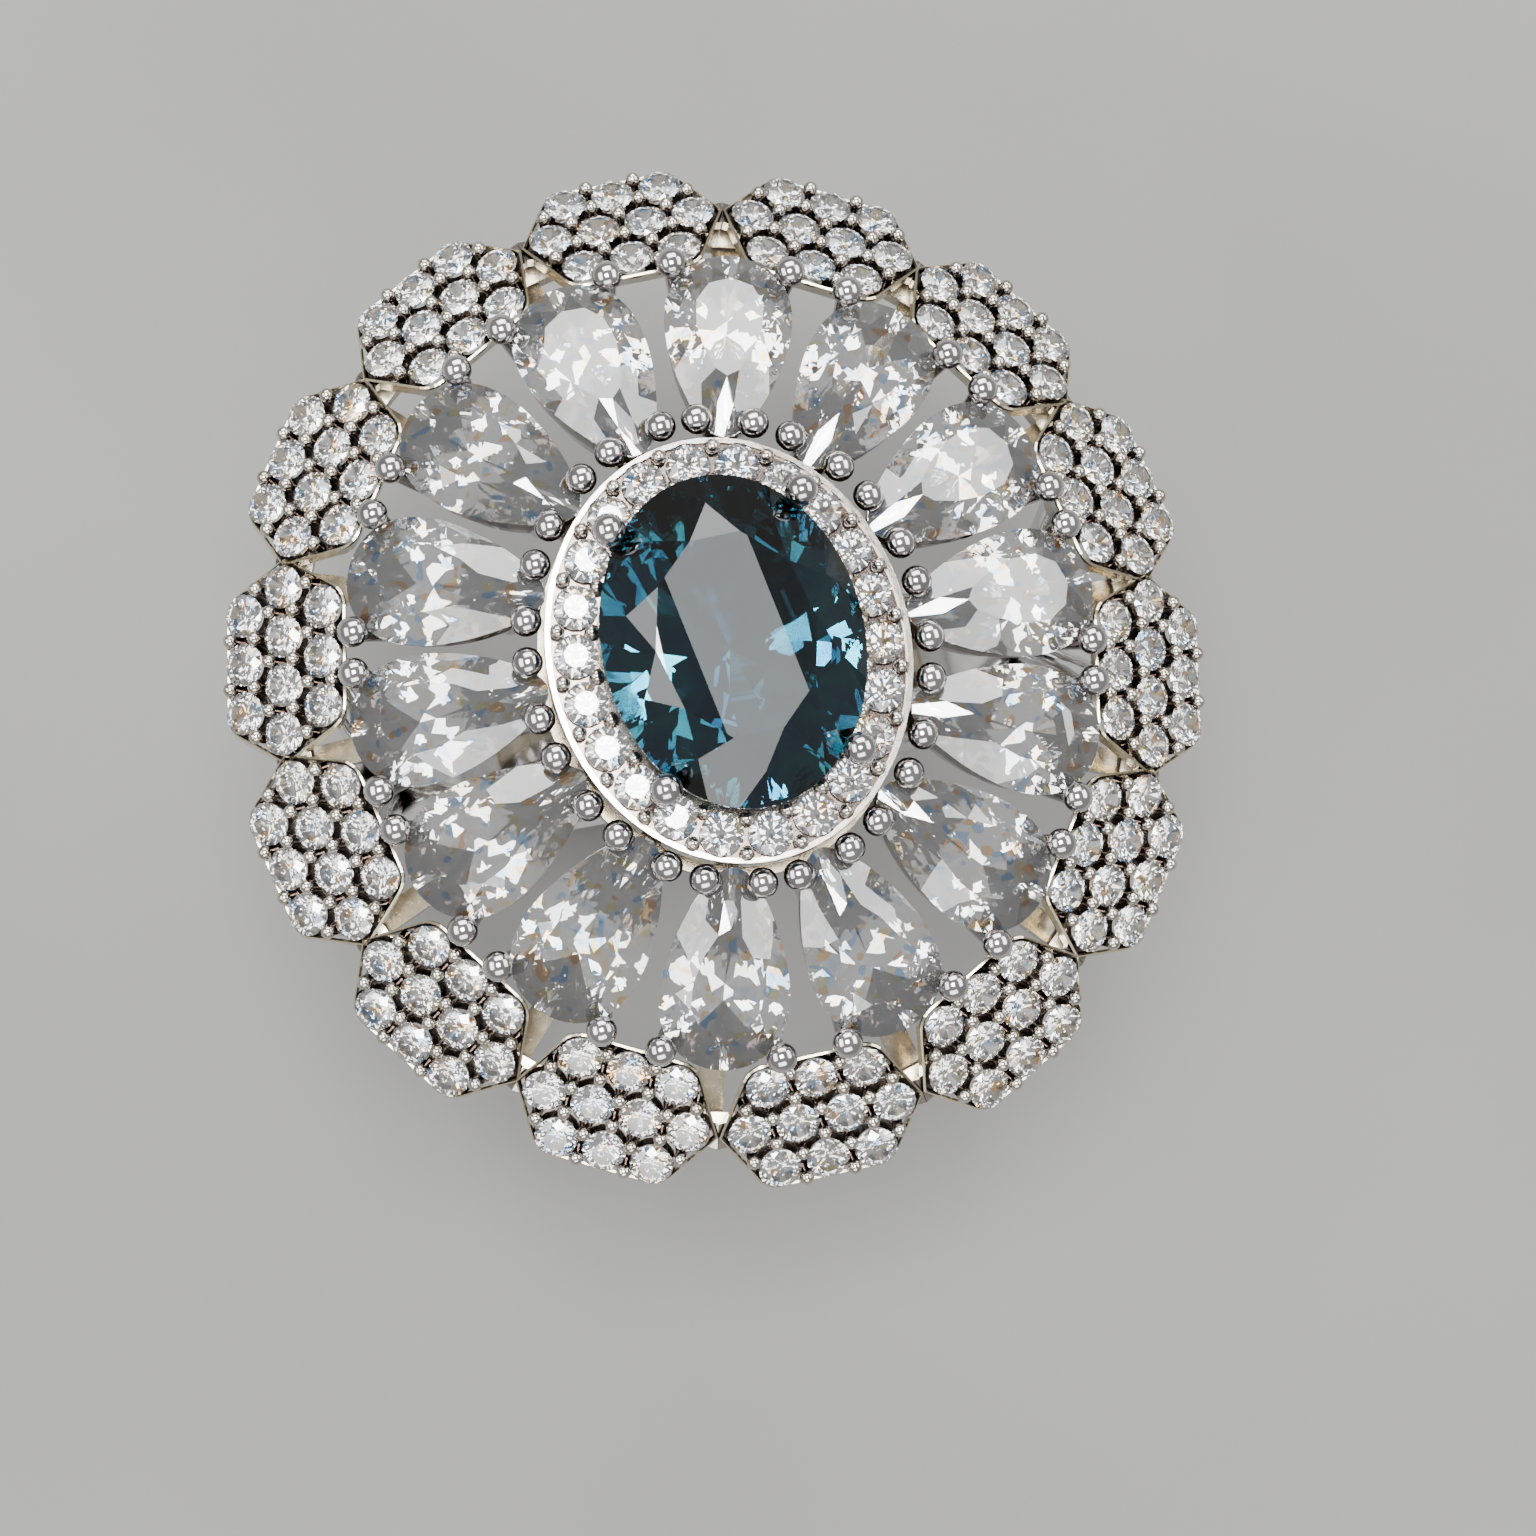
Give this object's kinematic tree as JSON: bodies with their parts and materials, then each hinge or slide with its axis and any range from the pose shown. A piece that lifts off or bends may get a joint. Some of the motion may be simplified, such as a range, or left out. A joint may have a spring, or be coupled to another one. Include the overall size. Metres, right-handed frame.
{
  "type": "cocktail ring",
  "caption": "Flower cocktail ring with an oval blue centre stone, a pave halo, pear-cut petals in prong baskets and a scalloped pave border on a plain band.",
  "frame": {"origin": "centre of the finger hole", "axes": "+Y along the finger, +Z out through the centre stone, +X across the finger"},
  "size_m": [0.027, 0.0286, 0.0273],
  "materials": {
    "band_silver": "polished rhodium-plated silver",
    "gallery_silver": "polished rhodium-plated silver, duller in the recesses",
    "prong_silver": "mirror-polished rhodium-plated silver",
    "pave_silver": "bright-cut rhodium-plated silver",
    "centre_gem": "faceted London-blue topaz colour",
    "pear_gem": "faceted clear cubic zirconia",
    "pave_gem": "faceted clear cubic zirconia"
  },
  "bodies": {
    "root": {"base_plate": "gallery_silver", "border_rail": "gallery_silver", "centre_basket": "prong_silver", "centre_stone": "centre_gem", "gallery_spokes": "gallery_silver", "halo_gallery": "gallery_silver", "halo_ring": "pave_silver", "halo_stones": "pave_gem", "pave_stones_inner": "pave_gem", "pave_stones_middle": "pave_gem", "pave_stones_outer": "pave_gem", "pear_basket_01": "prong_silver", "pear_basket_02": "prong_silver", "pear_basket_03": "prong_silver", "pear_basket_04": "prong_silver", "pear_basket_05": "prong_silver", "pear_basket_06": "prong_silver", "pear_basket_07": "prong_silver", "pear_basket_08": "prong_silver", "pear_basket_09": "prong_silver", "pear_basket_10": "prong_silver", "pear_basket_11": "prong_silver", "pear_basket_12": "prong_silver", "pear_basket_13": "prong_silver", "pear_basket_14": "prong_silver", "pear_stone_01": "pear_gem", "pear_stone_02": "pear_gem", "pear_stone_03": "pear_gem", "pear_stone_04": "pear_gem", "pear_stone_05": "pear_gem", "pear_stone_06": "pear_gem", "pear_stone_07": "pear_gem", "pear_stone_08": "pear_gem", "pear_stone_09": "pear_gem", "pear_stone_10": "pear_gem", "pear_stone_11": "pear_gem", "pear_stone_12": "pear_gem", "pear_stone_13": "pear_gem", "pear_stone_14": "pear_gem", "saddle_posts": "band_silver", "scallop_01": "pave_silver", "scallop_02": "pave_silver", "scallop_03": "pave_silver", "scallop_04": "pave_silver", "scallop_05": "pave_silver", "scallop_06": "pave_silver", "scallop_07": "pave_silver", "scallop_08": "pave_silver", "scallop_09": "pave_silver", "scallop_10": "pave_silver", "scallop_11": "pave_silver", "scallop_12": "pave_silver", "scallop_13": "pave_silver", "scallop_14": "pave_silver", "shank": "band_silver", "shoulder_left": "band_silver", "shoulder_right": "band_silver"}
  },
  "joints": []
}
